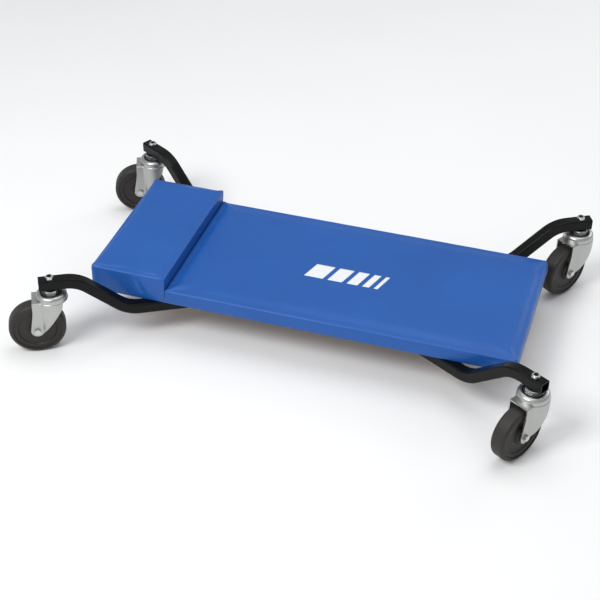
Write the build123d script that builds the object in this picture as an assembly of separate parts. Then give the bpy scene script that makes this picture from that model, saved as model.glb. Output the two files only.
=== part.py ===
from build123d import *
import math
import os

os.makedirs("parts", exist_ok=True)

# ---------------------------------------------------------------- driving dimensions (mm)
# +X runs from the head end to the foot end, +Z is up, the floor is z = 0.
ORIGIN_SHIFT = (32.1, 29.4)        # deck centre, seen from the middle of the parked footprint
CUT = 1.0                          # how far a cutting shape passes the face it opens
THROUGH = 5.0                      # the same, for cuts right through a tube or the hem
OVERLAP = 0.5                      # shared length of two shapes that are joined

PIVOT_X = 535.8                    # half the distance between head and foot caster pivots
PIVOT_Y = 293.5                    # half the distance between right and left caster pivots
# corner: (pivot x sign, pivot y sign, heading of the trailing wheel in degrees from +X)
CORNERS = {
    "head_right": (-1, -1, 208.0),
    "foot_right": (1, -1, 239.0),
    "foot_left": (1, 1, 238.0),
    "head_left": (-1, 1, 202.0),
}

# cross frame of square tube
TUBE = 25.4
TUBE_WALL = 2.0
TUBE_CORNER = 3.2
TUBE_HIGH_Z = 175.1                # tube centre height over the casters
TUBE_END = 25.0                    # tube overhang beyond the pivot
BEND_START = 59.2                  # pivot to the upper bend corner, along the tube's plan line
BEND_END = 164.8                   # pivot to the lower bend corner
BEND_R = 70.0
CROSSING_REACH = 200.0             # half length of the through tube's run at the crossing
GUSSET_T = 3.0
GUSSET_X = 92.0
GUSSET_Y = 66.0
GUSSET_CORNER_R = 14.0
WELD_LEG = 4.0
STEM_HOLE_GAP = 0.2                # radial, between stem and tube

# padded deck
DECK_L = 972.0
DECK_W = 381.0
DECK_BOTTOM_Z = 96.0
DECK_TOP_Z = 131.6
HEADREST_TOP_Z = 162.7
HEADREST_L = 174.6
PAD_GAP = 0.3                      # between the two upholstered blocks
VINYL_T = 1.2
BOARD_T = 12.0
PAD_CORNER = 8.0
PAD_EDGE = 5.0
HEM_W = 30.0
JUNCTION_REACH = 5.0
STAPLE_PITCH = 60.0
STAPLE_W = 10.0
STAPLE_WIRE = 1.2
STAPLE_CROWN = 0.6
STAPLE_LEG = 8.0
STAPLE_INSET = 18.0
STAPLE_TUBE_CLEARANCE = 36.0       # along the edge, from a tube's centre line
END_STAPLES = 5

# deck bolts, M8, through the tube from below into tee nuts
BOLT_STATIONS = (-300.0, -120.0, 120.0, 300.0)
BOLT_D = 8.0
BOLT_HOLE_D = 8.6
BOLT_HEAD_AF = 13.0
BOLT_HEAD_H = 5.3
BOLT_WASHER_T = 1.6
BOLT_WASHER_D = 17.0
SPACER_D = 18.0
TEE_BARREL_D = 10.6
TEE_FLANGE_D = 20.0
TEE_FLANGE_T = 1.5
TEE_BARREL_L = 8.0
BOLT_RECESS = 1.0                  # bolt end below the top of the board

# swivel caster, all heights from the floor
WHEEL_R = 63.5
TREAD_W = 35.0
TREAD_SHOULDER = 8.0
TYRE_INNER_R = 51.0
RIM_INNER_R = 44.0
RIM_W = 31.0
WEB_T = 26.0
WEB_SLOPE = 2.0                    # run of the sloped edges of the web
HUB_R = 19.0
HUB_W = 38.0
HUB_CHAMFER = 2.0
TYRE_LIP = 3.2                     # height of the tyre's lip over the rim's edge
TRAIL = 39.5
SLEEVE_D = 13.0
RUNNING_GAP = 0.05                 # radial clearance of the running fits
AXLE_D = 8.0
AXLE_NUT_H = 8.0
AXLE_HEAD_H = 5.3
THREAD_TIP = 1.0                   # thread that shows beyond the axle nut

SHEET = 2.8
LEG_OUT = 24.0                     # half width of the fork over its flat legs
CROWN_R = 35.5
CROWN_TRAIL = 44.5
CROWN_TOP_Z = 139.0
CROWN_T = 3.0
CROWN_BEND = 2.5
CHEEK_BLEND_R = 7.0                # between the round crown and the flat cheeks
LEG_TIP_R = 14.3
LEG_FRONT_X = -24.0                # leading edge of the legs under the crown
LEG_WAIST_X = -20.0                # where the leading edge turns towards the axle
LEG_WAIST_Z = 121.0
LEG_HEEL_X = 45.5                  # where the trailing edge turns towards the axle
LEG_HEEL_Z = 112.0
LEG_FRONT_DEG = 218.0              # where the straight edges meet the round tip
LEG_HEEL_DEG = 8.0
DOME_R = 34.2
DOME_SHOULDER_Z = 145.6
DOME_CREST = (31.8, 150.9)         # radius and height on the round shoulder
DOME_LIP_R = 24.8
DOME_LIP_H = 2.4
DOME_TOP_Z = 153.4
DOME_INSIDE = ((26.2, 150.4), (31.0, 147.0), (31.7, 138.5))

NECK_D = 16.0
UPPER_BALL_D = 6.0
UPPER_BALL_RING_R = 18.2
UPPER_BALL_Z = 141.2
UPPER_BALLS = 16
UPPER_RACE_R = 21.7
UPPER_RACE_Z0 = 142.4
UPPER_RACE_Z1 = 152.4
LOWER_BALL_D = 5.0
LOWER_BALL_RING_R = 13.5
LOWER_BALL_Z = 134.2
LOWER_BALLS = 14
LOWER_RACE_R = 18.0
LOWER_RACE_Z0 = 129.6
LOWER_RACE_Z1 = 133.0
KING_NUT_AF = 17.0
KING_NUT_Z0 = 122.6
KING_TIP = 0.6                     # thread that shows under the king nut
FLANGE_R = 21.7
FLANGE_T = 2.0
HEX_AF = 35.0
STEM_D = 10.0
STEM_NUT_AF = 17.0
STEM_NUT_H = 7.0
STEM_RECESS = 2.4                  # stem end below the top of its nut
NUT_COLLAR_H = 2.2                 # round collar of the locking nuts
NUT_COLLAR_R = 1.2
NUT_COLLAR_INSET = 0.6             # collar inside the flats
THREAD_GAP = 0.05
BALL_GAP = 0.02                    # balls in the fork
RACE_BALL_GAP = 0.05               # balls under and over the fixed races
WASHER_R = 12.0
WASHER_GAP = 0.2                   # between hub and thrust washers

# ---------------------------------------------------------------- derived dimensions
TUBE_LOW_Z = DECK_BOTTOM_Z - TUBE / 2
TUBE_BOTTOM_Z = DECK_BOTTOM_Z - TUBE
STEM_SEAT_Z = TUBE_HIGH_Z - TUBE / 2
STEM_TOP_Z = TUBE_HIGH_Z + TUBE / 2
HALF_DIAGONAL = math.hypot(PIVOT_X, PIVOT_Y)
DIAGONAL_DEG = math.degrees(math.atan2(PIVOT_Y, PIVOT_X))
BOARD_Z = DECK_BOTTOM_Z + VINYL_T
FOAM_Z = BOARD_Z + BOARD_T
HEADREST_END_X = -DECK_L / 2 + HEADREST_L


def save(shape, node):
    """Move a shape to the parked footprint's origin and export it as one node."""
    placed = Pos(ORIGIN_SHIFT[0], ORIGIN_SHIFT[1], 0) * shape
    export_step(placed, f"parts/{node}.step")


def group(shapes):
    """Separate solids that share one node."""
    solids = [solid for shape in shapes for solid in shape.solids()]
    return Compound(solids)


def box(x0, x1, y0, y1, z0, z1):
    """Axis-aligned block between two corners."""
    block = Box(x1 - x0, y1 - y0, z1 - z0)
    return Pos((x0 + x1) / 2, (y0 + y1) / 2, (z0 + z1) / 2) * block


def post(radius, z0, z1):
    """Vertical cylinder on the local axis."""
    return Pos(0, 0, (z0 + z1) / 2) * Cylinder(radius, z1 - z0)


def ring(outer_r, inner_r, z0, z1):
    """Vertical tube on the local axis."""
    return post(outer_r, z0, z1) - post(inner_r, z0 - CUT, z1 + CUT)


def hexagon(across_flats, z0, z1):
    """Hexagonal prism with both rims turned down at thirty degrees."""
    corner_r = across_flats / math.sqrt(3)
    prism = extrude(Pos(0, 0, z0) * RegularPolygon(corner_r, 6), z1 - z0)
    turned = corner_r - across_flats / 2
    drop = turned * math.tan(math.radians(30))
    profile = Polyline(
        (0, 0, z0),
        (across_flats / 2, 0, z0),
        (corner_r, 0, z0 + drop),
        (corner_r, 0, z1 - drop),
        (across_flats / 2, 0, z1),
        (0, 0, z1),
        close=True,
    )
    return prism & revolve(make_face(profile), Axis.Z)


def lay_along_axle(shape):
    """Turn a part built along +Z so that it runs along the caster's axle (+Y)."""
    return Rot(X=-90) * shape


# ---------------------------------------------------------------- cross frame
def diagonal(shape, side):
    """Turn a shape built along +X onto one of the two diagonals."""
    return Rot(Z=side * DIAGONAL_DEG) * shape


def bent_tube():
    """Full-length square tube along +X, low under the deck and raised over the casters."""
    low_half = HALF_DIAGONAL - BEND_END
    high_half = HALF_DIAGONAL - BEND_START
    end = HALF_DIAGONAL + TUBE_END
    path = FilletPolyline(
        (-end, 0, TUBE_HIGH_Z),
        (-high_half, 0, TUBE_HIGH_Z),
        (-low_half, 0, TUBE_LOW_Z),
        (low_half, 0, TUBE_LOW_Z),
        (high_half, 0, TUBE_HIGH_Z),
        (end, 0, TUBE_HIGH_Z),
        radius=BEND_R,
    )
    inner = TUBE - 2 * TUBE_WALL
    start = Plane(origin=(-end, 0, TUBE_HIGH_Z), x_dir=(0, 1, 0), z_dir=(1, 0, 0))
    outside = sweep(start * RectangleRounded(TUBE, TUBE, TUBE_CORNER), path)
    inside = sweep(start * RectangleRounded(inner, inner, TUBE_CORNER - TUBE_WALL), path)
    return outside - inside


def drill_tube(tube):
    """Stem holes over the casters and bolt holes under the deck."""
    for sign in (-1, 1):
        hole = post(STEM_D / 2 + STEM_HOLE_GAP, STEM_SEAT_Z - THROUGH, STEM_TOP_Z + THROUGH)
        tube -= Pos(sign * HALF_DIAGONAL, 0, 0) * hole
    for station in BOLT_STATIONS:
        hole = post(BOLT_HOLE_D / 2, TUBE_BOTTOM_Z - THROUGH, DECK_BOTTOM_Z + THROUGH)
        tube -= Pos(station, 0, 0) * hole
    return tube


def crossing_prism():
    """Outer envelope of the through tube's low run."""
    half = TUBE / 2
    run = box(-CROSSING_REACH, CROSSING_REACH, -half, half, TUBE_BOTTOM_Z - THROUGH, DECK_BOTTOM_Z + THROUGH)
    return diagonal(run, 1)


def gusset_plate():
    """Lozenge plate welded under the crossing."""
    outline = Polyline(
        (-GUSSET_X, 0),
        (0, -GUSSET_Y),
        (GUSSET_X, 0),
        (0, GUSSET_Y),
        close=True,
    )
    face = fillet(make_face(outline).vertices(), GUSSET_CORNER_R)
    return Pos(0, 0, TUBE_BOTTOM_Z - GUSSET_T) * extrude(face, GUSSET_T)


def weld_beads():
    """Four upright fillet beads in the corners of the crossing."""
    beads = []
    half_angle = math.radians(DIAGONAL_DEG)
    half = TUBE / 2
    z0 = TUBE_BOTTOM_Z + TUBE_CORNER
    height = TUBE - 2 * TUBE_CORNER
    along = {1: (math.cos(half_angle), math.sin(half_angle)),
             -1: (math.cos(half_angle), -math.sin(half_angle))}
    corner_x = half / math.sin(half_angle)
    corner_y = half / math.cos(half_angle)
    places = (((corner_x, 0), (1, 1)), ((-corner_x, 0), (-1, -1)),
              ((0, corner_y), (1, -1)), ((0, -corner_y), (-1, 1)))
    for (cx, cy), (sign_through, sign_cut) in places:
        through = along[1]
        cut = along[-1]
        outline = Polyline(
            (cx, cy),
            (cx + sign_through * WELD_LEG * through[0], cy + sign_through * WELD_LEG * through[1]),
            (cx + sign_cut * WELD_LEG * cut[0], cy + sign_cut * WELD_LEG * cut[1]),
            close=True,
        )
        beads.append(Pos(0, 0, z0) * extrude(make_face(outline), height))
    return group(beads)


def frame_parts():
    """Through tube, the two half tubes welded to it, gusset and weld beads."""
    save(diagonal(drill_tube(bent_tube()), 1), "frame_tube_through")
    halves = diagonal(drill_tube(bent_tube()), -1) - crossing_prism()
    halves = sorted(halves.solids(), key=lambda solid: solid.center().X)
    save(halves[0], "frame_tube_half_head")
    save(halves[-1], "frame_tube_half_foot")
    save(gusset_plate(), "frame_gusset")
    save(weld_beads(), "frame_weld_beads")


# ---------------------------------------------------------------- padded deck
def bolt_points():
    """Plan positions of the eight deck bolts."""
    points = []
    for side in (1, -1):
        for station in BOLT_STATIONS:
            angle = math.radians(side * DIAGONAL_DEG)
            points.append((station * math.cos(angle), station * math.sin(angle)))
    return points


def staple_points():
    """Plan position and turn of each staple along the turned-in hem."""
    points = []
    half_l = DECK_L / 2 - STAPLE_INSET
    half_w = DECK_W / 2 - STAPLE_INSET
    tube_x = half_w / math.tan(math.radians(DIAGONAL_DEG))
    count = round(2 * half_l / STAPLE_PITCH)
    for i in range(count + 1):
        x = -half_l + STAPLE_PITCH / 2 + i * (2 * half_l - STAPLE_PITCH) / count
        near_tube = abs(abs(x) - tube_x) < STAPLE_TUBE_CLEARANCE
        near_seam = abs(x - HEADREST_END_X) < STAPLE_W
        if not near_tube and not near_seam:
            points += [(x, -half_w, 0), (x, half_w, 0)]
    for i in range(END_STAPLES):
        y = (i - (END_STAPLES - 1) / 2) * STAPLE_PITCH
        points += [(-half_l, y, 90), (half_l, y, 90)]
    return points


def staple_legs():
    """The two upright legs of one staple."""
    reach = STAPLE_W / 2
    z0 = DECK_BOTTOM_Z
    wire = STAPLE_WIRE / 2
    left = box(-reach, -reach + STAPLE_CROWN, -wire, wire, z0, z0 + STAPLE_LEG)
    right = box(reach - STAPLE_CROWN, reach, -wire, wire, z0, z0 + STAPLE_LEG)
    return left + right


def staples():
    """All staples of the hem."""
    wire = STAPLE_WIRE / 2
    reach = STAPLE_W / 2
    crown = box(-reach, reach, -wire, wire, DECK_BOTTOM_Z - STAPLE_CROWN, DECK_BOTTOM_Z)
    one = crown + staple_legs()
    return group([Pos(x, y, 0) * Rot(Z=turn) * one for x, y, turn in staple_points()])


def staple_slots():
    """The slots that the staple legs fill."""
    return [Pos(x, y, 0) * Rot(Z=turn) * staple_legs() for x, y, turn in staple_points()]


def deck_board():
    """Plywood board with tee-nut seats and staple slots."""
    half_l = DECK_L / 2 - VINYL_T
    half_w = DECK_W / 2 - VINYL_T
    board = box(-half_l, half_l, -half_w, half_w, BOARD_Z, FOAM_Z)
    board = fillet(board.edges().filter_by(Axis.Z), PAD_CORNER - VINYL_T)
    for x, y in bolt_points():
        board -= Pos(x, y, 0) * post(TEE_BARREL_D / 2, BOARD_Z - CUT, FOAM_Z + CUT)
        board -= Pos(x, y, 0) * post(TEE_FLANGE_D / 2, FOAM_Z - TEE_FLANGE_T, FOAM_Z + CUT)
    return board - staple_slots()


def pad_block(x0, x1, top_z, inset, square_end):
    """Upholstered block, inset from its outer skin, with one square end and soft edges."""
    half_w = DECK_W / 2 - inset
    block = box(x0, x1, -half_w, half_w, DECK_BOTTOM_Z, top_z - inset)
    uprights = block.edges().filter_by(Axis.Z)
    outer = uprights.sort_by(Axis.X)[2:] if square_end == "head" else uprights.sort_by(Axis.X)[:2]
    block = fillet(outer, PAD_CORNER - inset)
    rim = block.faces().sort_by(Axis.Z)[-1].edges()
    if square_end == "head":
        rim = rim.sort_by(Axis.X)[1:]
    return fillet(rim, PAD_EDGE - inset)


def deck_outer(inset):
    """Flat part of the deck, square towards the headrest."""
    x0 = HEADREST_END_X + PAD_GAP
    return pad_block(x0, DECK_L / 2 - inset, DECK_TOP_Z, inset, "head")


def headrest_outer(inset):
    """Headrest block, soft on all sides."""
    x0 = -DECK_L / 2 + inset
    x1 = HEADREST_END_X - inset
    return pad_block(x0, x1, HEADREST_TOP_Z, inset, "foot")


def hem_opening(x0, x1):
    """Open middle of the underside, inside the turned-in hem."""
    half_w = DECK_W / 2 - HEM_W
    return box(x0, x1, -half_w, half_w, DECK_BOTTOM_Z - THROUGH, BOARD_Z)


def above_hem(top_z):
    """Everything from the board's underside up."""
    return box(-DECK_L, DECK_L, -DECK_W, DECK_W, BOARD_Z, top_z)


def across_junction(z0, z1):
    """Slab between the side walls that straddles the junction of the two blocks."""
    half_w = DECK_W / 2 - VINYL_T
    return box(HEADREST_END_X - JUNCTION_REACH, HEADREST_END_X + JUNCTION_REACH, -half_w, half_w, z0, z1)


def deck_cover():
    """Vinyl over the flat part, wrapped round the board and turned in below."""
    cavity = deck_outer(VINYL_T) + across_junction(BOARD_Z, DECK_TOP_Z - VINYL_T)
    shell = deck_outer(0) - (cavity & above_hem(DECK_TOP_Z))
    shell -= hem_opening(HEADREST_END_X - HEM_W, DECK_L / 2 - HEM_W)
    return shell - staple_slots()


def headrest_cover():
    """Vinyl over the headrest, closed towards the flat part down to the board."""
    shell = headrest_outer(0) - (headrest_outer(VINYL_T) & above_hem(HEADREST_TOP_Z))
    shell -= across_junction(BOARD_Z, FOAM_Z)
    shell -= hem_opening(-DECK_L / 2 + HEM_W, HEADREST_END_X + JUNCTION_REACH)
    return shell - staple_slots()


def foam(block):
    """Foam that fills a cover above the board."""
    return block & box(-DECK_L, DECK_L, -DECK_W, DECK_W, FOAM_Z, HEADREST_TOP_Z)


def deck_parts():
    """Board, foam blocks, vinyl covers and staples."""
    save(deck_board(), "deck_board")
    save(foam(deck_outer(VINYL_T)), "deck_foam")
    save(foam(headrest_outer(VINYL_T)), "headrest_foam")
    save(deck_cover(), "deck_cover")
    save(headrest_cover(), "headrest_cover")
    save(staples(), "cover_staples")


def deck_fasteners():
    """Hex bolts, washers under their heads, spacers under the board and tee nuts."""
    washer_z = TUBE_BOTTOM_Z - BOLT_WASHER_T
    bolt = hexagon(BOLT_HEAD_AF, washer_z - BOLT_HEAD_H, washer_z)
    bolt += post(BOLT_D / 2, washer_z - OVERLAP, FOAM_Z - BOLT_RECESS)
    washer = ring(BOLT_WASHER_D / 2, BOLT_HOLE_D / 2, washer_z, TUBE_BOTTOM_Z)
    spacer = ring(SPACER_D / 2, BOLT_HOLE_D / 2, DECK_BOTTOM_Z, BOARD_Z)
    bore = BOLT_D / 2 + THREAD_GAP
    tee_nut = ring(TEE_FLANGE_D / 2, bore, FOAM_Z - TEE_FLANGE_T, FOAM_Z)
    tee_nut += ring(TEE_BARREL_D / 2, bore, FOAM_Z - TEE_BARREL_L, FOAM_Z - TEE_FLANGE_T)
    for shape, node in ((bolt, "deck_bolts"), (washer, "deck_bolt_washers"),
                        (spacer, "deck_spacers"), (tee_nut, "deck_tee_nuts")):
        save(group([Pos(x, y, 0) * shape for x, y in bolt_points()]), node)


# ---------------------------------------------------------------- swivel caster
# Local axes: +X trails towards the wheel, +Y is the axle, the swivel axis is +Z.
def crown_plan(inset):
    """Plan outline of the fork: a round crown with two flat cheeks behind it."""
    radius = CROWN_R - inset
    half = LEG_OUT - inset
    length = TRAIL + 2 * LEG_TIP_R
    plan = Circle(radius) + Pos(length / 2, 0) * Rectangle(length, 2 * half)
    join_x = math.sqrt(radius ** 2 - half ** 2)
    joins = [v for v in plan.vertices() if math.hypot(v.X - join_x, abs(v.Y) - half) < OVERLAP]
    return fillet(joins, CHEEK_BLEND_R + inset)


def leg_side():
    """Side outline of the legs, from the crown down to the round tip at the axle."""
    front = math.radians(LEG_FRONT_DEG)
    tip_x = TRAIL + LEG_TIP_R * math.cos(front)
    tip_z = WHEEL_R + LEG_TIP_R * math.sin(front)
    heel = math.radians(LEG_HEEL_DEG)
    heel_x = TRAIL + LEG_TIP_R * math.cos(heel)
    heel_z = WHEEL_R + LEG_TIP_R * math.sin(heel)
    lines = Polyline(
        (heel_x, 0, heel_z),
        (LEG_HEEL_X, 0, LEG_HEEL_Z),
        (CROWN_TRAIL, 0, CROWN_TOP_Z),
        (LEG_FRONT_X, 0, CROWN_TOP_Z),
        (LEG_WAIST_X, 0, LEG_WAIST_Z),
        (tip_x, 0, tip_z),
    )
    arc = ThreePointArc((tip_x, 0, tip_z), (TRAIL, 0, WHEEL_R - LEG_TIP_R), (heel_x, 0, heel_z))
    face = make_face(Curve() + [lines, arc])
    return extrude(face, 2 * CROWN_R, both=True)


def fork_shell():
    """Folded sheet: crown plate and two legs, open in front and behind."""
    low_z = WHEEL_R - 2 * LEG_TIP_R
    outer = extrude(Pos(0, 0, low_z) * crown_plan(0), CROWN_TOP_Z - low_z)
    outer = fillet(outer.faces().sort_by(Axis.Z)[-1].edges(), CROWN_BEND)
    inner_top = CROWN_TOP_Z - CROWN_T
    inner = extrude(Pos(0, 0, low_z - CUT) * crown_plan(SHEET), inner_top - low_z + CUT)
    inner += box(0, 2 * CROWN_TRAIL, -LEG_OUT + SHEET, LEG_OUT - SHEET, low_z - CUT, inner_top)
    plate = outer & box(-2 * CROWN_R, CROWN_TRAIL, -2 * CROWN_R, 2 * CROWN_R, inner_top, CROWN_TOP_Z)
    return plate + ((outer - inner) & leg_side())


def raceway_dome():
    """Raised round raceway on the crown: lip, round shoulder, upright flank and hollow inside."""
    lip_under = (DOME_LIP_R, 0, DOME_TOP_Z - DOME_LIP_H)
    inside = [(radius, 0, z) for radius, z in DOME_INSIDE]
    base_z = inside[-1][2]
    outline = Curve() + [
        Line((DOME_LIP_R, 0, DOME_TOP_Z), lip_under),
        Line(lip_under, inside[0]),
        Spline(*inside),
        Line(inside[-1], (DOME_R, 0, base_z)),
        Line((DOME_R, 0, base_z), (DOME_R, 0, DOME_SHOULDER_Z)),
        ThreePointArc((DOME_R, 0, DOME_SHOULDER_Z), (DOME_CREST[0], 0, DOME_CREST[1]),
                      (DOME_LIP_R, 0, DOME_TOP_Z)),
    ]
    return revolve(make_face(outline), Axis.Z)


def ball_groove(ring_r, ball_d, z, gap):
    """Torus that clears a ring of balls."""
    return Pos(0, 0, z) * Torus(ring_r, ball_d / 2 + gap)


def fork():
    """Stamped fork with raceway, king pin hole and axle holes."""
    body = fork_shell() + raceway_dome()
    body -= post(NECK_D / 2 + RUNNING_GAP, CROWN_TOP_Z - 2 * CROWN_T, CROWN_TOP_Z + CUT)
    body -= ball_groove(UPPER_BALL_RING_R, UPPER_BALL_D, UPPER_BALL_Z, BALL_GAP)
    body -= ball_groove(LOWER_BALL_RING_R, LOWER_BALL_D, LOWER_BALL_Z, BALL_GAP)
    axle_hole = lay_along_axle(post(AXLE_D / 2 + THREAD_GAP, -2 * LEG_OUT, 2 * LEG_OUT))
    return body - Pos(TRAIL, 0, WHEEL_R) * axle_hole


def swivel_balls():
    """Upper and lower ball rings."""
    balls = []
    rows = ((UPPER_BALLS, UPPER_BALL_RING_R, UPPER_BALL_D, UPPER_BALL_Z),
            (LOWER_BALLS, LOWER_BALL_RING_R, LOWER_BALL_D, LOWER_BALL_Z))
    for count, ring_r, ball_d, z in rows:
        for i in range(count):
            balls.append(Rot(Z=360 * i / count) * Pos(ring_r, 0, z) * Sphere(ball_d / 2))
    return group(balls)


def king_stem():
    """Turned stem: thread, hex, flange, neck through the crown and lower thread."""
    hex_z0 = UPPER_RACE_Z1 + FLANGE_T
    stem = post(NECK_D / 2, LOWER_RACE_Z0, UPPER_RACE_Z1)
    stem += post(FLANGE_R, UPPER_RACE_Z1, hex_z0)
    stem += hexagon(HEX_AF, hex_z0, STEM_SEAT_Z)
    stem += post(STEM_D / 2, STEM_SEAT_Z - OVERLAP, STEM_TOP_Z + STEM_NUT_H - STEM_RECESS)
    stem += post(STEM_D / 2, KING_NUT_Z0 - KING_TIP, LOWER_RACE_Z0 + OVERLAP)
    return stem


def upper_race():
    """Hardened ring under the stem flange that rides on the upper balls."""
    race = ring(UPPER_RACE_R, NECK_D / 2, UPPER_RACE_Z0, UPPER_RACE_Z1)
    return race - ball_groove(UPPER_BALL_RING_R, UPPER_BALL_D, UPPER_BALL_Z, RACE_BALL_GAP)


def lower_race():
    """Hardened ring under the crown that carries the lower balls."""
    race = ring(LOWER_RACE_R, NECK_D / 2, LOWER_RACE_Z0, LOWER_RACE_Z1)
    return race - ball_groove(LOWER_BALL_RING_R, LOWER_BALL_D, LOWER_BALL_Z, RACE_BALL_GAP)


def king_nut():
    """Plain nut that closes the swivel from below."""
    nut = hexagon(KING_NUT_AF, KING_NUT_Z0, LOWER_RACE_Z0)
    return nut - post(STEM_D / 2 + THREAD_GAP, KING_NUT_Z0 - CUT, LOWER_RACE_Z0 + CUT)


def stem_nut():
    """Locking nut on top of the tube, hex below and a rolled collar above."""
    top_z = STEM_TOP_Z + STEM_NUT_H
    hex_top = top_z - NUT_COLLAR_H
    collar = post(STEM_NUT_AF / 2 - NUT_COLLAR_INSET, hex_top - OVERLAP, top_z)
    collar = fillet(collar.edges().sort_by(Axis.Z)[-1], NUT_COLLAR_R)
    nut = hexagon(STEM_NUT_AF, STEM_TOP_Z, hex_top) + collar
    return nut - post(STEM_D / 2 + THREAD_GAP, STEM_TOP_Z - CUT, top_z + CUT)


def axle_bolt():
    """Hex bolt through the legs."""
    bolt = hexagon(BOLT_HEAD_AF, LEG_OUT, LEG_OUT + AXLE_HEAD_H)
    return bolt + post(AXLE_D / 2, -LEG_OUT - AXLE_NUT_H - THREAD_TIP, LEG_OUT + OVERLAP)


def axle_nut():
    """Locking nut on the far leg, its collar outwards."""
    end_y = -LEG_OUT - AXLE_NUT_H
    nut = hexagon(BOLT_HEAD_AF, end_y + NUT_COLLAR_H, -LEG_OUT)
    nut += post(BOLT_HEAD_AF / 2 - NUT_COLLAR_INSET, end_y, end_y + NUT_COLLAR_H + OVERLAP)
    return nut - post(AXLE_D / 2 + THREAD_GAP, end_y - CUT, -LEG_OUT + CUT)


def axle_sleeve():
    """Steel sleeve clamped between the legs, on which the hub turns."""
    half = LEG_OUT - SHEET
    return ring(SLEEVE_D / 2, AXLE_D / 2 + THREAD_GAP, -half, half)


def hub_washers():
    """Thrust washers between hub and legs."""
    outer = LEG_OUT - SHEET
    inner = HUB_W / 2 + WASHER_GAP
    return group([ring(WASHER_R, SLEEVE_D / 2, inner, outer), ring(WASHER_R, SLEEVE_D / 2, -outer, -inner)])


def wheel_core():
    """Moulded wheel core: rim, recessed web and hub."""
    half_rim = RIM_W / 2
    half_web = WEB_T / 2
    half_hub = HUB_W / 2
    bore = SLEEVE_D / 2 + RUNNING_GAP
    outline = Polyline(
        (bore, 0, -half_hub),
        (HUB_R - HUB_CHAMFER, 0, -half_hub),
        (HUB_R, 0, -half_hub + HUB_CHAMFER),
        (HUB_R + WEB_SLOPE, 0, -half_web),
        (RIM_INNER_R - WEB_SLOPE, 0, -half_web),
        (RIM_INNER_R, 0, -half_rim),
        (TYRE_INNER_R, 0, -half_rim),
        (TYRE_INNER_R, 0, half_rim),
        (RIM_INNER_R, 0, half_rim),
        (RIM_INNER_R - WEB_SLOPE, 0, half_web),
        (HUB_R + WEB_SLOPE, 0, half_web),
        (HUB_R, 0, half_hub - HUB_CHAMFER),
        (HUB_R - HUB_CHAMFER, 0, half_hub),
        (bore, 0, half_hub),
        close=True,
    )
    return revolve(make_face(outline), Axis.Z)


def wheel_tyre():
    """Hard tread band with round shoulders, keyed over the rim's edges."""
    half_rim = RIM_W / 2
    half = TREAD_W / 2
    band = ring(WHEEL_R, TYRE_INNER_R, -half, half)
    band = fillet(band.edges().filter_by(GeomType.CIRCLE).group_by(lambda e: e.radius)[-1], TREAD_SHOULDER)
    lip_r = TYRE_INNER_R + TYRE_LIP
    for z0, z1 in ((half_rim, half + CUT), (-half - CUT, -half_rim)):
        band -= ring(lip_r, TYRE_INNER_R - CUT, z0, z1)
    return band


def on_axle(shape):
    """Carry a part built along +Z to the wheel axis."""
    return Pos(TRAIL, 0, WHEEL_R) * lay_along_axle(shape)


def caster_parts():
    """Everything that turns at each corner."""
    swivelling = {
        "fork": fork(),
        "swivel_balls": swivel_balls(),
        "axle_bolt": on_axle(axle_bolt()),
        "axle_nut": on_axle(axle_nut()),
        "axle_sleeve": on_axle(axle_sleeve()),
        "hub_washers": on_axle(hub_washers()),
        "wheel_core": on_axle(wheel_core()),
        "wheel_tyre": on_axle(wheel_tyre()),
    }
    for corner, (sign_x, sign_y, heading) in CORNERS.items():
        place = Pos(sign_x * PIVOT_X, sign_y * PIVOT_Y, 0) * Rot(Z=heading)
        for name, shape in swivelling.items():
            save(place * shape, f"{name}_{corner}")


def stem_parts():
    """Everything of the casters that is fixed to the frame."""
    fixed = {
        "caster_stems": king_stem(),
        "upper_races": upper_race(),
        "lower_races": lower_race(),
        "king_nuts": king_nut(),
        "stem_nuts": stem_nut(),
    }
    for name, shape in fixed.items():
        places = []
        for sign_x, sign_y, _ in CORNERS.values():
            turn = sign_x * sign_y * DIAGONAL_DEG
            places.append(Pos(sign_x * PIVOT_X, sign_y * PIVOT_Y, 0) * Rot(Z=turn) * shape)
        save(group(places), name)


frame_parts()
deck_parts()
deck_fasteners()
caster_parts()
stem_parts()
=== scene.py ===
import math
import bpy
import numpy as np
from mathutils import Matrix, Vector, noise
from mathutils.bvhtree import BVHTree


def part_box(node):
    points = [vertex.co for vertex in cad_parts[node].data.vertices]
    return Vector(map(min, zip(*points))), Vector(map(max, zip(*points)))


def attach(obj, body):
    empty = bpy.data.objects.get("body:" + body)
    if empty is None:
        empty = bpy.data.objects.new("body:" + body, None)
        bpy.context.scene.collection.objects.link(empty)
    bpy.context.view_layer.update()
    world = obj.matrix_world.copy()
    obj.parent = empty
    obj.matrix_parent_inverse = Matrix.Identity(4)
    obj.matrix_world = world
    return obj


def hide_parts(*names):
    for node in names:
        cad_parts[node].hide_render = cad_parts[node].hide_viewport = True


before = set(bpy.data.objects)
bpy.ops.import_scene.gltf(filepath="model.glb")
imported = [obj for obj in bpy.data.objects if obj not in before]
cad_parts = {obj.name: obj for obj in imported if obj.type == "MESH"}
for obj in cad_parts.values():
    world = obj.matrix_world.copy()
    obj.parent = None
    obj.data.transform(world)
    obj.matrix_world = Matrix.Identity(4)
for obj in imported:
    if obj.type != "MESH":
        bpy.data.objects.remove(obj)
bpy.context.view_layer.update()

MM = 0.001

# ---------------------------------------------------------------- camera (metres, degrees)
VIEW_AZIMUTH = 17.84
VIEW_ELEVATION = 37.77
VIEW_DISTANCE = 3.0874
VIEW_TARGET = (0.0074, -0.0615, 0.1)
LENS = 82.43
SENSOR = 36.0

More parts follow.
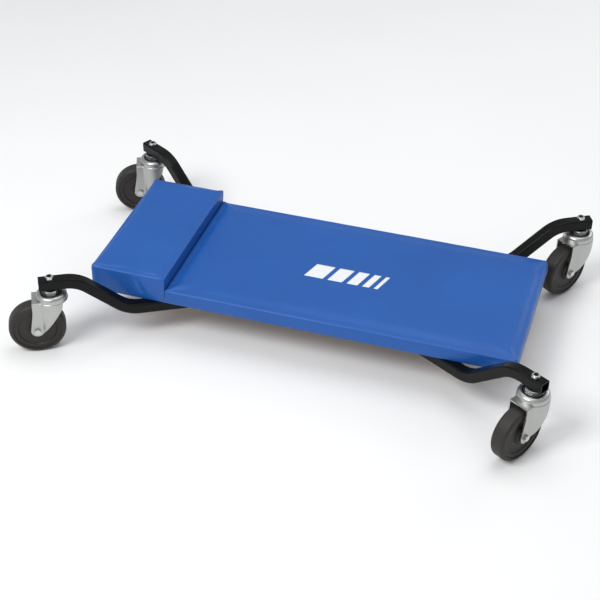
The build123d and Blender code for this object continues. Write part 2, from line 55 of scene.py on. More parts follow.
# ---------------------------------------------------------------- pads (metres)
EDGE_R = 4.5 * MM
BOTTOM_R = 3.0 * MM
CORNER_R = 8.0 * MM
JOINT_CORNER_R = 0.9 * MM
HEM_W = 30.0 * MM
POCKET = 1.5 * MM                  # height of the recess inside the hem
GRID = 9.0 * MM                    # spacing of the grid on top
WALL_STEP = 6.0 * MM               # spacing of the rings down the sides
END_STEPS = [1.6 * MM, 1.8 * MM, 2.1 * MM, 2.6 * MM, 3.6 * MM, 5.2 * MM, 7.0 * MM]
HEM_RINGS = (9.0 * MM, 16.0 * MM, 23.0 * MM, HEM_W - 0.5 * MM)
HEM_CREASE = 0.4 * MM              # height of the ring that turns up into the recess
OPEN_SIDE_INSET = 0.15 * MM        # per ring, where a pad has no hem
FOOT, HEAD = 1, 3                  # the two ends in the order near, foot, far, head
EDGE_ARC = 5                       # steps round the top edge
BOTTOM_ARC = 3                     # and round the bottom one

# ---------------------------------------------------------------- swelling and folds (lengths in metres)
BOARD_MARGIN = 1.5 * MM
BOARD_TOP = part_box("deck_board")[1][2] + BOARD_MARGIN   # the vinyl is held up to this height
DECK_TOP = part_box("deck_cover")[1][2]
PRESSURE = 4.0
SIM_FRAMES = 20
TOP_ZONE = 1.01 * EDGE_R           # depth that counts as the top
CROWN_CAP = 2.6 * MM               # most movement kept on top
SIDE_CAP = 0.9 * MM                # and on the sides
JOINT_FADE = 14.0 * MM             # reach over which swelling dies out where the pads meet
CORNER_PULL = 0.45                 # share kept of the inward pull
HEAD_END_PROUD = 3.0 * MM          # the headrest's head end stands out from its CAD cover
STEP_PROUD = 1.5 * MM              # how far the headrest's tall face leans out
STEP_START = 2.0 * MM              # the lean starts this far above the deck pad
STEP_RISE = 18.0 * MM
STEP_REACH = 60.0 * MM
SLACK = ((0.22 * MM, 0.055, 1), (0.10 * MM, 0.020, 2))   # height, size and seed of the slack
PLEAT_DEPTH = 0.75 * MM            # the corner pleats' flap on the end faces
PLEAT_WIDTH = 11.0 * MM
PLEAT_EDGE = 1.6 * MM
PLEAT_LEAN = 0.18                  # the flap widens by this much per metre down
PLEAT_TOP = 3.0 * MM               # it starts this far below the top
PLEAT_FADE = 6.0 * MM
FOLD_IN = 0.35                     # shares of a fold's length over which it fades in and out
FOLD_OUT = 0.3
SIDE_FACING = (0.5, 0.4)           # part of the normal where a side fold begins, and span to its full depth
END_FACING = (0.35, 0.5)
UNDERSIDE = 0.2 * MM               # anything lower on a pad stays flat
BOARD_COVER = 0.8 * MM             # deepest fold over the board
FOAM_DEPTH = 8.0 * MM              # extra depth over the foam
FOAM_START = 5.0 * MM
CREASE_FADE = 9.0 * MM             # folds die out this close to the joint of the pads

# ---------------------------------------------------------------- print on the deck (metres, degrees)
PRINT_BARS = [0.044, 0.034, 0.025, 0.016, 0.009]
PRINT_SPACE = 0.011
PRINT_HEIGHT = 0.050
PRINT_SLANT = 18.0
PRINT_OFFSET = (-0.024, -0.018)    # from the middle of the deck pad
PRINT_COLUMN = 0.003
PRINT_ROWS = 14
PRINT_LIFT = 0.12 * MM             # ink above the vinyl
PRINT_THICKNESS = 0.3 * MM
PRINT_RAY_START = 1.0              # height from which rays look down for the vinyl

# ---------------------------------------------------------------- patterns (lengths in metres)
VINYL_GRAIN = 820                  # pebbles per metre
THREAD_PITCH = 1.75 * MM
NUT_SHADE_BAND = (0.7 * MM, 1.7 * MM)     # painted shade: above the lock nut's foot the stem's colour turns from plated to near black, standing in for the shade inside the nut's bore
PLY = 2.4 * MM

# ---------------------------------------------------------------- studio
FLOOR_HALF = 30.0
SKY_COLOUR = (0.97, 0.985, 1.0, 1)
SKY_STRENGTH = 0.52
LIGHT_TARGET = (0, 0, 0.1)


# ---------------------------------------------------------------- meshes
def new_object(name, verts, faces):
    """Mesh object in the shared frame, smooth shaded."""
    mesh = bpy.data.meshes.new(name)
    mesh.from_pydata([tuple(v) for v in verts], [], faces)
    mesh.validate()
    mesh.shade_smooth()
    mesh.update()
    made = bpy.data.objects.new(name, mesh)
    bpy.context.scene.collection.objects.link(made)
    return made


def coordinates(mesh):
    """Vertex coordinates as an array."""
    flat = np.zeros(len(mesh.vertices) * 3)
    mesh.vertices.foreach_get("co", flat)
    return flat.reshape(-1, 3)


def normals(mesh):
    """Vertex normals as an array."""
    flat = np.zeros(len(mesh.vertices) * 3)
    mesh.vertices.foreach_get("normal", flat)
    return flat.reshape(-1, 3)


def move_vertices(mesh, points):
    """Write an array back as the vertex coordinates."""
    mesh.vertices.foreach_set("co", np.asarray(points, float).ravel())
    mesh.update()


def graded(length, spacing):
    """Positions from 0 to length, closely spaced near both ends."""
    ends = np.concatenate([[0.0], np.cumsum(END_STEPS)])
    room = length - 2 * ends[-1]
    middle = np.linspace(ends[-1], length - ends[-1], max(2, round(room / spacing)) + 1)
    return np.concatenate([ends[:-1], middle, (length - ends[:-1])[::-1]])


def smoothstep(t):
    """Smooth rise from 0 to 1."""
    t = np.clip(t, 0, 1)
    return t * t * (3 - 2 * t)


class Pad:
    """Closed pad between two corners: grid on top, rings down the sides, hem and recess below."""

    def __init__(self, name, low, high, corner_radii, open_side):
        """Corner radii start at the near head corner; the open side is where the other pad meets it."""
        self.name = name
        self.low = np.array(low)
        self.high = np.array(high)
        self.radii = corner_radii
        self.open_side = open_side
        self.joint_x = self.low[0] if open_side == HEAD else self.high[0]
        self.us = graded(self.high[0] - self.low[0], GRID)
        self.vs = graded(self.high[1] - self.low[1], GRID)

    def ring(self, insets):
        """Outline points at the given insets of the near, foot, far and head sides."""
        x0, y0 = self.low[:2]
        x1, y1 = self.high[:2]
        near, foot, far, head = insets
        corners = [(x0 + head, y0 + near), (x1 - foot, y0 + near),
                   (x1 - foot, y1 - far), (x0 + head, y1 - far)]
        joined = [(head, near), (near, foot), (foot, far), (far, head)]
        radii = [max(r - max(pair), 0.0) for r, pair in zip(self.radii, joined)]
        along = [(1, 0), (0, 1), (-1, 0), (0, -1)]
        points = []
        for side in range(4):
            stations = self.us if side % 2 == 0 else self.vs
            start = np.array(corners[side])
            end = np.array(corners[(side + 1) % 4])
            length = np.linalg.norm(end - start)
            e = np.array(along[side])
            inward = np.array([-e[1], e[0]])
            r0 = radii[side]
            r1 = radii[(side + 1) % 4]
            for t in stations[:-1] * length / stations[-1]:
                step, depth = t, 0.0
                if t < r0:
                    turn = math.radians(45) * (1 - t / r0)
                    step, depth = r0 - r0 * math.sin(turn), r0 - r0 * math.cos(turn)
                elif length - t < r1:
                    turn = math.radians(45) * (1 - (length - t) / r1)
                    step, depth = length - r1 + r1 * math.sin(turn), r1 - r1 * math.cos(turn)
                points.append(start + e * step + inward * depth)
        return np.array(points)

    def build(self):
        """The pad as a new mesh object."""
        z0 = self.low[2]
        z1 = self.high[2]
        nx = len(self.us)
        ny = len(self.vs)
        scale_u = (self.us[-1] - 2 * EDGE_R) / self.us[-1]
        scale_v = (self.vs[-1] - 2 * EDGE_R) / self.vs[-1]
        verts = []
        for v in self.vs:
            for u in self.us:
                verts.append((self.low[0] + EDGE_R + u * scale_u, self.low[1] + EDGE_R + v * scale_v, z1))
        border = list(range(nx - 1))
        border += [j * nx + nx - 1 for j in range(ny - 1)]
        border += [(ny - 1) * nx + i for i in range(nx - 1, 0, -1)]
        border += [j * nx for j in range(ny - 1, 0, -1)]
        faces = [(j * nx + i, j * nx + i + 1, (j + 1) * nx + i + 1, (j + 1) * nx + i)
                 for j in range(ny - 1) for i in range(nx - 1)]
        edge = self.ring([EDGE_R] * 4)
        for k, index in enumerate(border):
            verts[index] = (edge[k][0], edge[k][1], z1)
        previous = border
        for insets, z, lifted in self.profile(z0, z1):
            points = self.ring(insets)
            first = len(verts)
            for p in points:
                verts.append((p[0], p[1], z + self.lift(p) if lifted else z))
            current = list(range(first, first + len(points)))
            count = len(current)
            faces += [(previous[k], current[k], current[(k + 1) % count], previous[(k + 1) % count])
                      for k in range(count)]
            previous = current
        faces.append(tuple(previous))
        return new_object(self.name, verts, faces)

    def lift(self, point):
        """The wall between the two pads ends inside the board, so its foot is raised there."""
        middle = (self.low[1] + self.high[1]) / 2
        half = (self.high[1] - self.low[1]) / 2
        inside = abs(point[1] - middle) < half - HEM_W - 0.01 * MM
        return POCKET if inside and abs(point[0] - self.joint_x) < 2 * MM else 0.0

    def profile(self, z0, z1):
        """Insets, height and lift flag of each ring, from the top edge round to the recess below."""
        steps = []
        for k in range(1, EDGE_ARC + 1):
            phi = math.radians(90 * k / EDGE_ARC)
            inset = EDGE_R * (1 - math.sin(phi))
            steps.append(([inset] * 4, z1 - EDGE_R * (1 - math.cos(phi)), False))
        rise = z1 - EDGE_R - z0 - BOTTOM_R
        count = max(3, round(rise / WALL_STEP))
        steps += [([0.0] * 4, z1 - EDGE_R - rise * k / count, False) for k in range(1, count + 1)]
        below = []
        for k in range(1, BOTTOM_ARC + 1):
            phi = math.radians(90 + 90 * k / BOTTOM_ARC)
            below.append((BOTTOM_R * (1 - math.sin(phi)), z0 + BOTTOM_R * (1 + math.cos(phi)), True))
        below += [(inset, z0, True) for inset in HEM_RINGS]
        below += [(HEM_W, z0 + HEM_CREASE, True), (HEM_W, z0 + POCKET, False)]
        for order, (inset, z, lifted) in enumerate(below, 1):
            steps.append((self.hem_insets(inset, order), z, lifted))
        return steps

    def hem_insets(self, inset, order):
        """Equal insets, except that the open side has no hem."""
        insets = [inset] * 4
        insets[self.open_side] = OPEN_SIDE_INSET * order
        return insets


def inflate(made):
    """Rest shape and movement under cloth pressure, with the hem and the part beside the board held."""
    rest = coordinates(made.data)
    held = made.vertex_groups.new(name="held")
    pinned = [i for i, p in enumerate(rest) if p[2] < BOARD_TOP]
    held.add(pinned, 1.0, "REPLACE")
    cloth = made.modifiers.new("swell", "CLOTH")
    settings = cloth.settings
    settings.quality = 6
    settings.mass = 0.4
    settings.tension_stiffness = 15
    settings.compression_stiffness = 15
    settings.shear_stiffness = 10
    settings.bending_stiffness = 1.5
    settings.air_damping = 4
    settings.vertex_group_mass = "held"
    settings.use_pressure = True
    settings.uniform_pressure_force = PRESSURE
    settings.effector_weights.gravity = 0
    cloth.collision_settings.use_collision = False
    cloth.point_cache.frame_start = 1
    cloth.point_cache.frame_end = SIM_FRAMES
    scene = bpy.context.scene
    for step in range(1, SIM_FRAMES + 1):
        scene.frame_set(step)
    evaluated = made.evaluated_get(bpy.context.evaluated_depsgraph_get())
    swollen = coordinates(evaluated.data)
    made.modifiers.remove(cloth)
    scene.frame_set(1)
    return rest, swollen - rest


def capped(pad, rest, moved):
    """Swelling with less inward pull, limited by place: most on top, none where the pads meet."""
    cap = np.where(rest[:, 2] > pad.high[2] - TOP_ZONE, CROWN_CAP, SIDE_CAP)
    cap = cap * smoothstep(np.abs(rest[:, 0] - pad.joint_x) / JOINT_FADE)
    outward = np.sign(rest - (pad.low + pad.high) / 2)
    outward[:, 2] = 0
    moved = np.where(moved * outward < 0, moved * CORNER_PULL, moved)
    length = np.linalg.norm(moved, axis=1)
    kept = cap * np.tanh(length / np.maximum(cap, 1e-6))
    share = np.where(length > 1e-9, kept / np.maximum(length, 1e-9), 0)
    return rest + moved * share[:, None]


def overhang(pad, made):
    """The headrest's tall face leans out over the deck pad, fullest near its top."""
    points = coordinates(made.data)
    rise = smoothstep((points[:, 2] - DECK_TOP - STEP_START) / STEP_RISE)
    near_face = smoothstep((points[:, 0] - pad.high[0] + STEP_REACH) / STEP_REACH)
    points[:, 0] += STEP_PROUD * rise * near_face
    move_vertices(made.data, points)


def subdivided(made):
    """One applied Catmull-Clark subdivision."""
    fine = made.modifiers.new("fine", "SUBSURF")
    fine.levels = 1
    fine.render_levels = 1
    evaluated = made.evaluated_get(bpy.context.evaluated_depsgraph_get())
    mesh = bpy.data.meshes.new_from_object(evaluated)
    made.modifiers.remove(fine)
    old = made.data
    made.data = mesh
    bpy.data.meshes.remove(old)
    made.data.shade_smooth()
    made.vertex_groups.clear()


def fold(a, b, start, end, width, depth):
    """A groove along a line on a side face, fading at both ends; a ridge if the depth is negative."""
    start = np.array(start)
    line = np.array(end) - start
    length = np.linalg.norm(line)
    line = line / length
    da = a - start[0]
    db = b - start[1]
    along = (da * line[0] + db * line[1]) / length
    across = -da * line[1] + db * line[0]
    fade = smoothstep(along / FOLD_IN) * smoothstep((1.0 - along) / FOLD_OUT)
    return -depth * np.exp(-(across / width) ** 2) * fade


def wander(points, scale, seed):
    """Smooth random value at each point, from -1 to 1."""
    shift = Vector((seed * 7.31, seed * 3.17, seed * 5.53))
    return np.array([noise.noise(Vector(p) / scale + shift) for p in points])


def crease(pad, made, folds):
    """Slack, pleats and pulled folds, pushed along the normals."""
    mesh = made.data
    points = coordinates(mesh)
    normal = normals(mesh)
    push = sum(height * wander(points, size, seed) for height, size, seed in SLACK)
    a = points[:, 0] - pad.low[0]
    b = points[:, 1] - pad.low[1]
    h = points[:, 2] - pad.low[2]
    for side, sign in (("near", -1.0), ("far", 1.0)):
        facing = smoothstep((sign * normal[:, 1] - SIDE_FACING[0]) / SIDE_FACING[1])
        for start, end, width, depth in folds[side]:
            push += facing * fold(a, h, start, end, width, depth)
    drop = pad.high[2] - points[:, 2]
    for side, sign in ((FOOT, 1.0), (HEAD, -1.0)):
        if side == pad.open_side:
            continue
        facing = smoothstep((sign * normal[:, 0] - END_FACING[0]) / END_FACING[1])
        inset = np.minimum(b, pad.high[1] - pad.low[1] - b) - PLEAT_LEAN * drop
        flap = 1 - smoothstep((inset - PLEAT_WIDTH) / PLEAT_EDGE)
        push += PLEAT_DEPTH * facing * flap * smoothstep((drop - PLEAT_TOP) / PLEAT_FADE)
        for start, end, width, depth in folds["end"]:
            push += facing * fold(b, h, start, end, width, depth)
    push[h < UNDERSIDE] = 0
    over_foam = smoothstep((points[:, 2] - BOARD_TOP) / FOAM_START)
    push = np.maximum(push, -BOARD_COVER - over_foam * FOAM_DEPTH)
    push *= smoothstep(np.abs(points[:, 0] - pad.joint_x) / CREASE_FADE)
    move_vertices(mesh, points + normal * push[:, None])


def make_pad(name, node, corner_radii, open_side, folds):
    """One upholstered block in the place of its CAD cover."""
    low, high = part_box(node)
    raised = name == "headrest_pad"
    if raised:
        low = (low[0] - HEAD_END_PROUD, low[1], low[2])
    pad = Pad(name, low, high, corner_radii, open_side)
    made = pad.build()
    rest, moved = inflate(made)
    move_vertices(made.data, capped(pad, rest, moved))
    if raised:
        overhang(pad, made)
    subdivided(made)
    crease(pad, made, folds)
    return made


# ---------------------------------------------------------------- materials
class Finish:
    """A material being built from nodes."""

    def __init__(self, name, metallic=0.0, specular=0.5):
        self.material = bpy.data.materials.new(name)
        self.material.use_nodes = True
        self.nodes = self.material.node_tree.nodes
        self.links = self.material.node_tree.links
        self.nodes.clear()
        output = self.nodes.new("ShaderNodeOutputMaterial")
        self.shader = self.nodes.new("ShaderNodeBsdfPrincipled")
        self.links.new(self.shader.outputs["BSDF"], output.inputs["Surface"])
        self.shader.inputs["Metallic"].default_value = metallic
        self.shader.inputs["Specular IOR Level"].default_value = specular
        self.place = self.nodes.new("ShaderNodeTexCoord").outputs["Object"]

    def set(self, socket, value):
        """Constant on the shader's own socket."""
        self.shader.inputs[socket].default_value = value

    def feed(self, socket, output):
        """Texture into a shader socket."""
        self.links.new(output, self.shader.inputs[socket])

    def noise(self, scale, detail, roughness=0.5, stretch=None):
        """Noise value, scale in features per metre."""
        node = self.nodes.new("ShaderNodeTexNoise")
        node.inputs["Scale"].default_value = scale
        node.inputs["Detail"].default_value = detail
        node.inputs["Roughness"].default_value = roughness
        self.links.new(self.stretched(stretch), node.inputs["Vector"])
        return node.outputs["Fac"]

    def cells(self, scale, randomness):
        """Distance to the nearest cell centre, scale in cells per metre."""
        node = self.nodes.new("ShaderNodeTexVoronoi")
        node.inputs["Scale"].default_value = scale
        node.inputs["Randomness"].default_value = randomness
        self.links.new(self.place, node.inputs["Vector"])
        return node.outputs["Distance"]

    def stretched(self, stretch):
        """Object coordinates, scaled along each axis."""
        if stretch is None:
            return self.place
        node = self.nodes.new("ShaderNodeMapping")
        node.inputs["Scale"].default_value = stretch
        self.links.new(self.place, node.inputs["Vector"])
        return node.outputs["Vector"]

    def axis(self, index):
        """One object coordinate in metres."""
        node = self.nodes.new("ShaderNodeSeparateXYZ")
        self.links.new(self.place, node.inputs["Vector"])
        return node.outputs[index]

    def math(self, operation, a, b=None):
        """Arithmetic on outputs or numbers."""
        node = self.nodes.new("ShaderNodeMath")
        node.operation = operation
        for slot, value in enumerate((a, b)):
            if value is None:
                continue
            if isinstance(value, (int, float)):
                node.inputs[slot].default_value = value
            else:
                self.links.new(value, node.inputs[slot])
        return node.outputs["Value"]

    def ramp(self, value, stops):
        """Colour ramp, stops of position and linear colour."""
        node = self.nodes.new("ShaderNodeValToRGB")
        elements = node.color_ramp.elements
        while len(elements) > 1:
            elements.remove(elements[-1])
        elements[0].position = stops[0][0]
        elements[0].color = (*stops[0][1], 1)
        for position, colour in stops[1:]:
            made = elements.new(position)
            made.color = (*colour, 1)
        self.links.new(value, node.inputs["Fac"])
        return node.outputs["Color"]

    def spread(self, value, low, high, to_low, to_high):
        """Linear map of a value, clamped."""
        node = self.nodes.new("ShaderNodeMapRange")
        for name, number in (("From Min", low), ("From Max", high), ("To Min", to_low), ("To Max", to_high)):
            node.inputs[name].default_value = number
        self.links.new(value, node.inputs["Value"])
        return node.outputs["Result"]

    def mix(self, factor, a, b):
        """Mix of two colours, each an output or a linear colour."""
        node = self.nodes.new("ShaderNodeMix")
        node.data_type = "RGBA"
        for socket, value in ((node.inputs[0], factor), (node.inputs[6], a), (node.inputs[7], b)):
            if isinstance(value, (int, float)):
                socket.default_value = value
            elif isinstance(value, tuple):
                socket.default_value = (*value, 1)
            else:
                self.links.new(value, socket)
        return node.outputs[2]

    def bump(self, height, distance, strength):
        """Bump of the given height in metres, added on top of any bump made before."""
        node = self.nodes.new("ShaderNodeBump")
        node.inputs["Strength"].default_value = strength
        node.inputs["Distance"].default_value = distance
        self.links.new(height, node.inputs["Height"])
        if self.shader.inputs["Normal"].is_linked:
            self.links.new(self.shader.inputs["Normal"].links[0].from_socket, node.inputs["Normal"])
        self.links.new(node.outputs["Normal"], self.shader.inputs["Normal"])

    def edges(self, radius):
        """Mask that is high along convex and concave edges."""
        bevel = self.nodes.new("ShaderNodeBevel")
        bevel.samples = 4
        bevel.inputs["Radius"].default_value = radius
        geometry = self.nodes.new("ShaderNodeNewGeometry")
        dot = self.nodes.new("ShaderNodeVectorMath")
        dot.operation = "DOT_PRODUCT"
        self.links.new(bevel.outputs["Normal"], dot.inputs[0])
        self.links.new(geometry.outputs["Normal"], dot.inputs[1])
        return self.spread(dot.outputs["Value"], 0.98, 0.8, 0.0, 1.0)


def vinyl(name):
    """Blue upholstery vinyl with a fine pebble grain."""
    f = Finish(name, specular=0.42)
    tone = f.noise(5.0, 4.0, 0.55)
    colour = f.ramp(tone, [(0.3, (0.0040, 0.084, 0.356)), (0.7, (0.0065, 0.102, 0.412))])
    grain = f.cells(VINYL_GRAIN, 0.95)
    fine = f.noise(1500, 2.0)
    valley = f.spread(grain, 0.15, 0.75, 0.0, 0.22)
    f.feed("Base Color", f.mix(valley, colour, (0.002, 0.050, 0.26)))
    smudge = f.noise(18.0, 5.0, 0.6)
    f.feed("Roughness", f.spread(smudge, 0.3, 0.7, 0.40, 0.52))
    f.set("Coat Weight", 0.08)
    f.set("Coat Roughness", 0.3)
    f.bump(grain, 0.00012, 0.55)
    f.bump(fine, 0.00004, 0.35)
    return f.material


def print_white(name):
    """Thick white screen print on vinyl."""
    f = Finish(name, specular=0.4)
    grain = f.cells(VINYL_GRAIN, 0.95)
    f.feed("Base Color", f.ramp(f.noise(240, 4.0), [(0.25, (0.72, 0.75, 0.80)), (0.7, (0.84, 0.86, 0.88))]))
    f.feed("Roughness", f.spread(f.noise(60, 3.0), 0.3, 0.7, 0.42, 0.55))
    f.bump(grain, 0.00008, 0.5)
    return f.material


def frame_paint(name):
    """Black powder coat, slightly orange-peeled, rubbed thin on the edges."""
    f = Finish(name, specular=0.17)
    tone = f.noise(30, 4.0)
    body = f.ramp(tone, [(0.3, (0.0022, 0.0022, 0.0024)), (0.7, (0.0042, 0.0042, 0.0046))])
    wear = f.math("MULTIPLY", f.edges(0.0012), f.spread(f.noise(90, 4.0), 0.5, 0.7, 0.0, 0.35))
    f.feed("Base Color", f.mix(wear, body, (0.06, 0.06, 0.062)))
    f.feed("Roughness", f.spread(f.noise(45, 4.0), 0.3, 0.7, 0.18, 0.27))
    f.bump(f.noise(420, 2.0), 0.00006, 0.25)
    return f.material


def zinc(name, base, low, high, mottle):
    """Bright zinc plating with a mottled sheen."""
    f = Finish(name, metallic=1.0)
    cloud = f.noise(mottle, 4.0, 0.6)
    warm = tuple(c * k for c, k in zip(base, (0.93, 0.93, 0.92)))
    colour = f.ramp(cloud, [(0.3, warm), (0.7, base)])
    f.feed("Base Color", colour)
    f.feed("Roughness", f.spread(cloud, 0.3, 0.7, low, high))
    f.bump(f.noise(160, 2.0), 0.00004, 0.2)
    return f.material


def turned_steel(name):
    """Zinc-plated turned steel, threaded, with painted shade at the end that shows inside the lock nut: the
    colour turns near black there.
    """
    f = Finish(name, metallic=1.0)
    cloud = f.noise(80, 4.0)
    plated = f.ramp(cloud, [(0.3, (0.34, 0.345, 0.355)), (0.7, (0.44, 0.445, 0.455))])
    nut_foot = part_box("stem_nuts")[0][2]
    # painted shade: the stem's colour turns near black inside the lock nut, where the nut's bore is in shade
    nut_shade = f.spread(f.axis(2), nut_foot + NUT_SHADE_BAND[0], nut_foot + NUT_SHADE_BAND[1], 0.0, 1.0)
    f.feed("Base Color", f.mix(nut_shade, plated, (0.012, 0.012, 0.012)))
    f.feed("Roughness", f.spread(cloud, 0.3, 0.7, 0.24, 0.36))
    thread = f.math("SINE", f.math("MULTIPLY", f.axis(2), 2 * math.pi / THREAD_PITCH))
    f.bump(thread, 0.0002, 0.25)
    f.bump(f.noise(900, 2.0, stretch=(1, 1, 6)), 0.00003, 0.3)
    return f.material


def moulded(name, dark, light, low, high, scale):
    """Moulded polymer with a matt, slightly scuffed skin."""
    f = Finish(name, specular=0.45)
    tone = f.noise(scale, 5.0, 0.6)
    scuff = f.spread(f.noise(70, 6.0, 0.7, stretch=(1, 1, 3)), 0.55, 0.75, 0.0, 0.5)
    colour = f.ramp(tone, [(0.3, dark), (0.72, light)])
    worn = tuple(min(1.0, c * 2.1 + 0.004) for c in light)
    f.feed("Base Color", f.mix(scuff, colour, worn))
    f.feed("Roughness", f.spread(tone, 0.3, 0.7, low, high))
    f.bump(f.noise(900, 3.0), 0.00008, 0.4)
    f.bump(f.noise(120, 3.0), 0.00015, 0.25)
    return f.material


def plywood(name):
    """Birch plywood: long grain on the faces, plies on the edges."""
    f = Finish(name, specular=0.3)
    rings = f.noise(26, 6.0, 0.65, stretch=(0.14, 1.5, 1))
    fibre = f.noise(520, 3.0, 0.6, stretch=(0.05, 1, 1))
    face = f.ramp(rings, [(0.3, (0.40, 0.30, 0.20)), (0.5, (0.50, 0.39, 0.27)), (0.7, (0.58, 0.46, 0.33))])
    plies = f.math("SINE", f.math("MULTIPLY", f.axis(2), 2 * math.pi / (2 * PLY)))
    edge = f.ramp(f.spread(plies, -1, 1, 0, 1), [(0.35, (0.30, 0.18, 0.09)), (0.6, (0.58, 0.41, 0.24))])
    geometry = f.nodes.new("ShaderNodeNewGeometry")
    split = f.nodes.new("ShaderNodeSeparateXYZ")
    f.links.new(geometry.outputs["Normal"], split.inputs["Vector"])
    upright = f.spread(f.math("ABSOLUTE", split.outputs["Z"]), 0.4, 0.6, 1.0, 0.0)
    colour = f.mix(upright, face, edge)
    f.feed("Base Color", f.mix(f.spread(fibre, 0.35, 0.7, 0.0, 0.3), colour, (0.30, 0.17, 0.08)))
    f.set("Roughness", 0.62)
    f.bump(fibre, 0.00010, 0.5)
    return f.material


def studio_floor(name):
    """Plain pale floor with a very faint unevenness."""
    f = Finish(name, specular=0.2)
    f.feed("Base Color", f.ramp(f.noise(1.5, 2.0), [(0.3, (0.90, 0.90, 0.90)), (0.7, (0.92, 0.92, 0.92))]))
    f.set("Roughness", 0.7)
    return f.material


def paint(names, material):
    """One material on each of these CAD nodes."""
    for name in names:
        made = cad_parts[name]
        made.data.materials.clear()
        made.data.materials.append(material)


def corners(*stems):
    """Names of the nodes that each caster has."""
    places = ("head_right", "foot_right", "foot_left", "head_left")
    return [f"{stem}_{place}" for stem in stems for place in places]


def paint_frame():
    """Every CAD node that stays visible gets its finish."""
    sheet = zinc("zinc_sheet", (0.48, 0.485, 0.475), 0.30, 0.42, 38)
    fastener = zinc("zinc_fasteners", (0.60, 0.60, 0.60), 0.22, 0.34, 120)
    bright = zinc("bearing_steel", (0.78, 0.78, 0.79), 0.14, 0.22, 160)
    wire = zinc("staple_wire", (0.72, 0.72, 0.71), 0.25, 0.36, 200)
    steel = turned_steel("turned_steel")
    core = moulded("wheel_core", (0.0125, 0.0100, 0.0085), (0.020, 0.0165, 0.0140), 0.45, 0.6, 60)
    tread = moulded("wheel_tread", (0.017, 0.0145, 0.0120), (0.026, 0.0225, 0.0190), 0.5, 0.66, 40)
    paint(["frame_tube_through", "frame_tube_half_head", "frame_tube_half_foot", "frame_gusset",
           "frame_weld_beads"], frame_paint("frame_paint"))
    paint(["deck_board"], plywood("plywood"))
    paint(["cover_staples"], wire)
    paint(["deck_bolts", "deck_bolt_washers", "deck_spacers", "deck_tee_nuts"], fastener)
    paint(["stem_nuts", "king_nuts"], fastener)
    paint(["caster_stems"], steel)
    paint(["upper_races", "lower_races"], bright)
    paint(corners("fork"), sheet)
    paint(corners("swivel_balls"), bright)
    paint(corners("axle_bolt", "axle_nut", "hub_washers"), fastener)
    paint(corners("axle_sleeve"), steel)
    paint(corners("wheel_core"), core)
    paint(corners("wheel_tyre"), tread)


# ---------------------------------------------------------------- print
def bar_faces(base, under, columns):
    """Faces of one bar: ink above, underside and the four rims."""
    line = columns + 1
    faces = []
    for j in range(PRINT_ROWS):
        for i in range(columns):
            a = base + j * line + i
            b = under + j * line + i
            faces.append((a, a + 1, a + line + 1, a + line))
            faces.append((b, b + line, b + line + 1, b + 1))
    for j in range(PRINT_ROWS):
        a, b = base + j * line, under + j * line
        faces.append((a, a + line, b + line, b))
        a, b = a + columns, b + columns
        faces.append((a + line, a, b, b + line))
    for i in range(columns):
        a, b = base + i, under + i
        faces.append((a + 1, a, b, b + 1))
        a, b = a + PRINT_ROWS * line, b + PRINT_ROWS * line
        faces.append((a, a + 1, b + 1, b))
    return faces


def print_bars(pad):
    """A row of plain slanted bars printed on the deck, each a thin skin over the vinyl."""
    tree = BVHTree.FromObject(pad, bpy.context.evaluated_depsgraph_get())
    low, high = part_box("deck_cover")
    centre_x = (low[0] + high[0]) / 2 + PRINT_OFFSET[0]
    centre_y = (low[1] + high[1]) / 2 + PRINT_OFFSET[1]
    slant = math.tan(math.radians(PRINT_SLANT))
    left = centre_x - (sum(PRINT_BARS) + PRINT_SPACE * (len(PRINT_BARS) - 1)) / 2
    down = Vector((0, 0, -1))
    verts = []
    faces = []
    for width in PRINT_BARS:
        columns = max(2, round(width / PRINT_COLUMN))
        base = len(verts)
        for j in range(PRINT_ROWS + 1):
            y = centre_y + (j / PRINT_ROWS - 0.5) * PRINT_HEIGHT
            for i in range(columns + 1):
                x = left + width * i / columns + (y - centre_y) * slant
                hit = tree.ray_cast(Vector((x, y, PRINT_RAY_START)), down)[0]
                verts.append((x, y, hit.z + PRINT_LIFT))
        under = len(verts)
        verts += [(x, y, z - PRINT_THICKNESS) for x, y, z in verts[base:under]]
        faces += bar_faces(base, under, columns)
        left += width + PRINT_SPACE
    return new_object("deck_print", verts, faces)


# ---------------------------------------------------------------- studio
def area_light(name, place, width, height, power):
    """White soft box aimed at the object."""
    data = bpy.data.lights.new(name, "AREA")
    data.shape = "RECTANGLE"
    data.size = width
    data.size_y = height
    data.energy = power
    made = bpy.data.objects.new(name, data)
    made.location = place
    made.rotation_euler = (Vector(LIGHT_TARGET) - Vector(place)).to_track_quat("-Z", "Y").to_euler()
    bpy.context.scene.collection.objects.link(made)


def studio():
    """Floor, soft boxes and an even sky."""
    outline = [(x * FLOOR_HALF, y * FLOOR_HALF, 0) for x, y in ((-1, -1), (1, -1), (1, 1), (-1, 1))]
    floor = new_object("floor", outline, [(0, 1, 2, 3)])
    floor.data.materials.append(studio_floor("floor"))
    world = bpy.data.worlds.new("sky")
    world.use_nodes = True
    background = world.node_tree.nodes["Background"]
    background.inputs["Color"].default_value = SKY_COLOUR
    background.inputs["Strength"].default_value = SKY_STRENGTH
    bpy.context.scene.world = world
    area_light("key", (-1.15, -2.1, 2.9), 1.3, 1.3, 70)
    area_light("top", (0.2, 0.6, 3.2), 2.4, 2.0, 26)
    area_light("back", (1.8, 2.4, 1.6), 1.6, 1.0, 12)


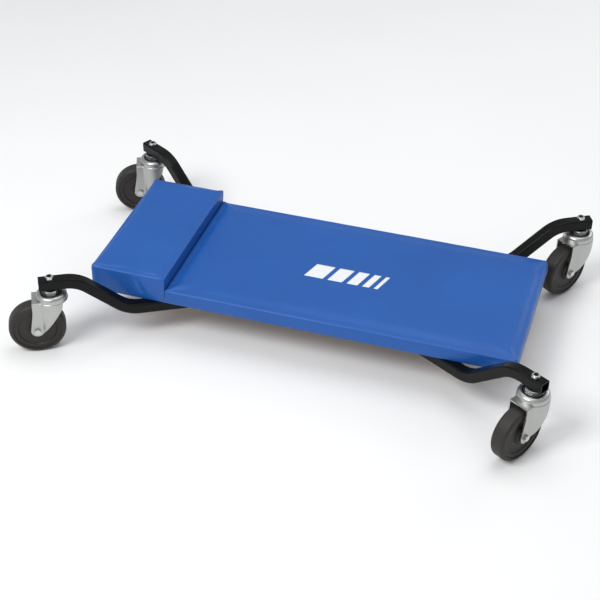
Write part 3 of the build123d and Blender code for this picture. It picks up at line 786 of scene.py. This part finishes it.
def camera():
    """Camera at the catalogue view's angle."""
    azimuth = math.radians(VIEW_AZIMUTH)
    elevation = math.radians(VIEW_ELEVATION)
    back = Vector((math.sin(azimuth) * math.cos(elevation), -math.cos(azimuth) * math.cos(elevation),
                   math.sin(elevation)))
    data = bpy.data.cameras.new("camera")
    data.lens = LENS
    data.sensor_width = SENSOR
    made = bpy.data.objects.new("camera", data)
    made.location = Vector(VIEW_TARGET) + back * VIEW_DISTANCE
    made.rotation_euler = (-back).to_track_quat("-Z", "Y").to_euler()
    bpy.context.scene.collection.objects.link(made)
    bpy.context.scene.camera = made


# ---------------------------------------------------------------- build
# Each fold: start and end on the face, along it and up from its bottom, then width and depth.
HEADREST_FOLDS = {
    "near": [
        ((0.080, 0.064), (0.107, 0.000), 0.0105, 3.2 * MM),
        ((0.095, 0.062), (0.120, 0.000), 0.0050, -1.3 * MM),
        ((0.108, 0.060), (0.133, 0.000), 0.0060, 2.6 * MM),
        ((0.034, 0.060), (0.060, 0.000), 0.0080, 0.9 * MM),
    ],
    "far": [((0.120, 0.062), (0.080, 0.004), 0.0075, 1.6 * MM)],
    "end": [((0.150, 0.060), (0.185, 0.004), 0.0080, 1.0 * MM)],
}
DECK_FOLDS = {
    "near": [
        ((0.700, 0.033), (0.772, 0.003), 0.0065, 1.3 * MM),
        ((0.420, 0.034), (0.520, 0.008), 0.0120, 0.6 * MM),
        ((0.110, 0.034), (0.200, 0.006), 0.0100, 0.5 * MM),
    ],
    "far": [
        ((0.690, 0.033), (0.600, 0.004), 0.0090, 0.8 * MM),
        ((0.300, 0.033), (0.220, 0.006), 0.0100, 0.6 * MM),
    ],
    "end": [((0.120, 0.034), (0.160, 0.004), 0.0080, 0.6 * MM)],
}

blue = vinyl("vinyl")
deck_corners = (JOINT_CORNER_R, CORNER_R, CORNER_R, JOINT_CORNER_R)
headrest_corners = (CORNER_R, JOINT_CORNER_R, JOINT_CORNER_R, CORNER_R)
deck = make_pad("deck_pad", "deck_cover", deck_corners, HEAD, DECK_FOLDS)
headrest = make_pad("headrest_pad", "headrest_cover", headrest_corners, FOOT, HEADREST_FOLDS)
for piece, nodes in ((deck, ("deck_cover", "deck_foam")), (headrest, ("headrest_cover", "headrest_foam"))):
    piece.data.materials.append(blue)
    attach(piece, "frame")
    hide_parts(*nodes)

bars = print_bars(deck)
bars.data.materials.append(print_white("deck_print"))
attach(bars, "frame")

paint_frame()
studio()
camera()
bpy.context.scene.view_settings.view_transform = "Standard"
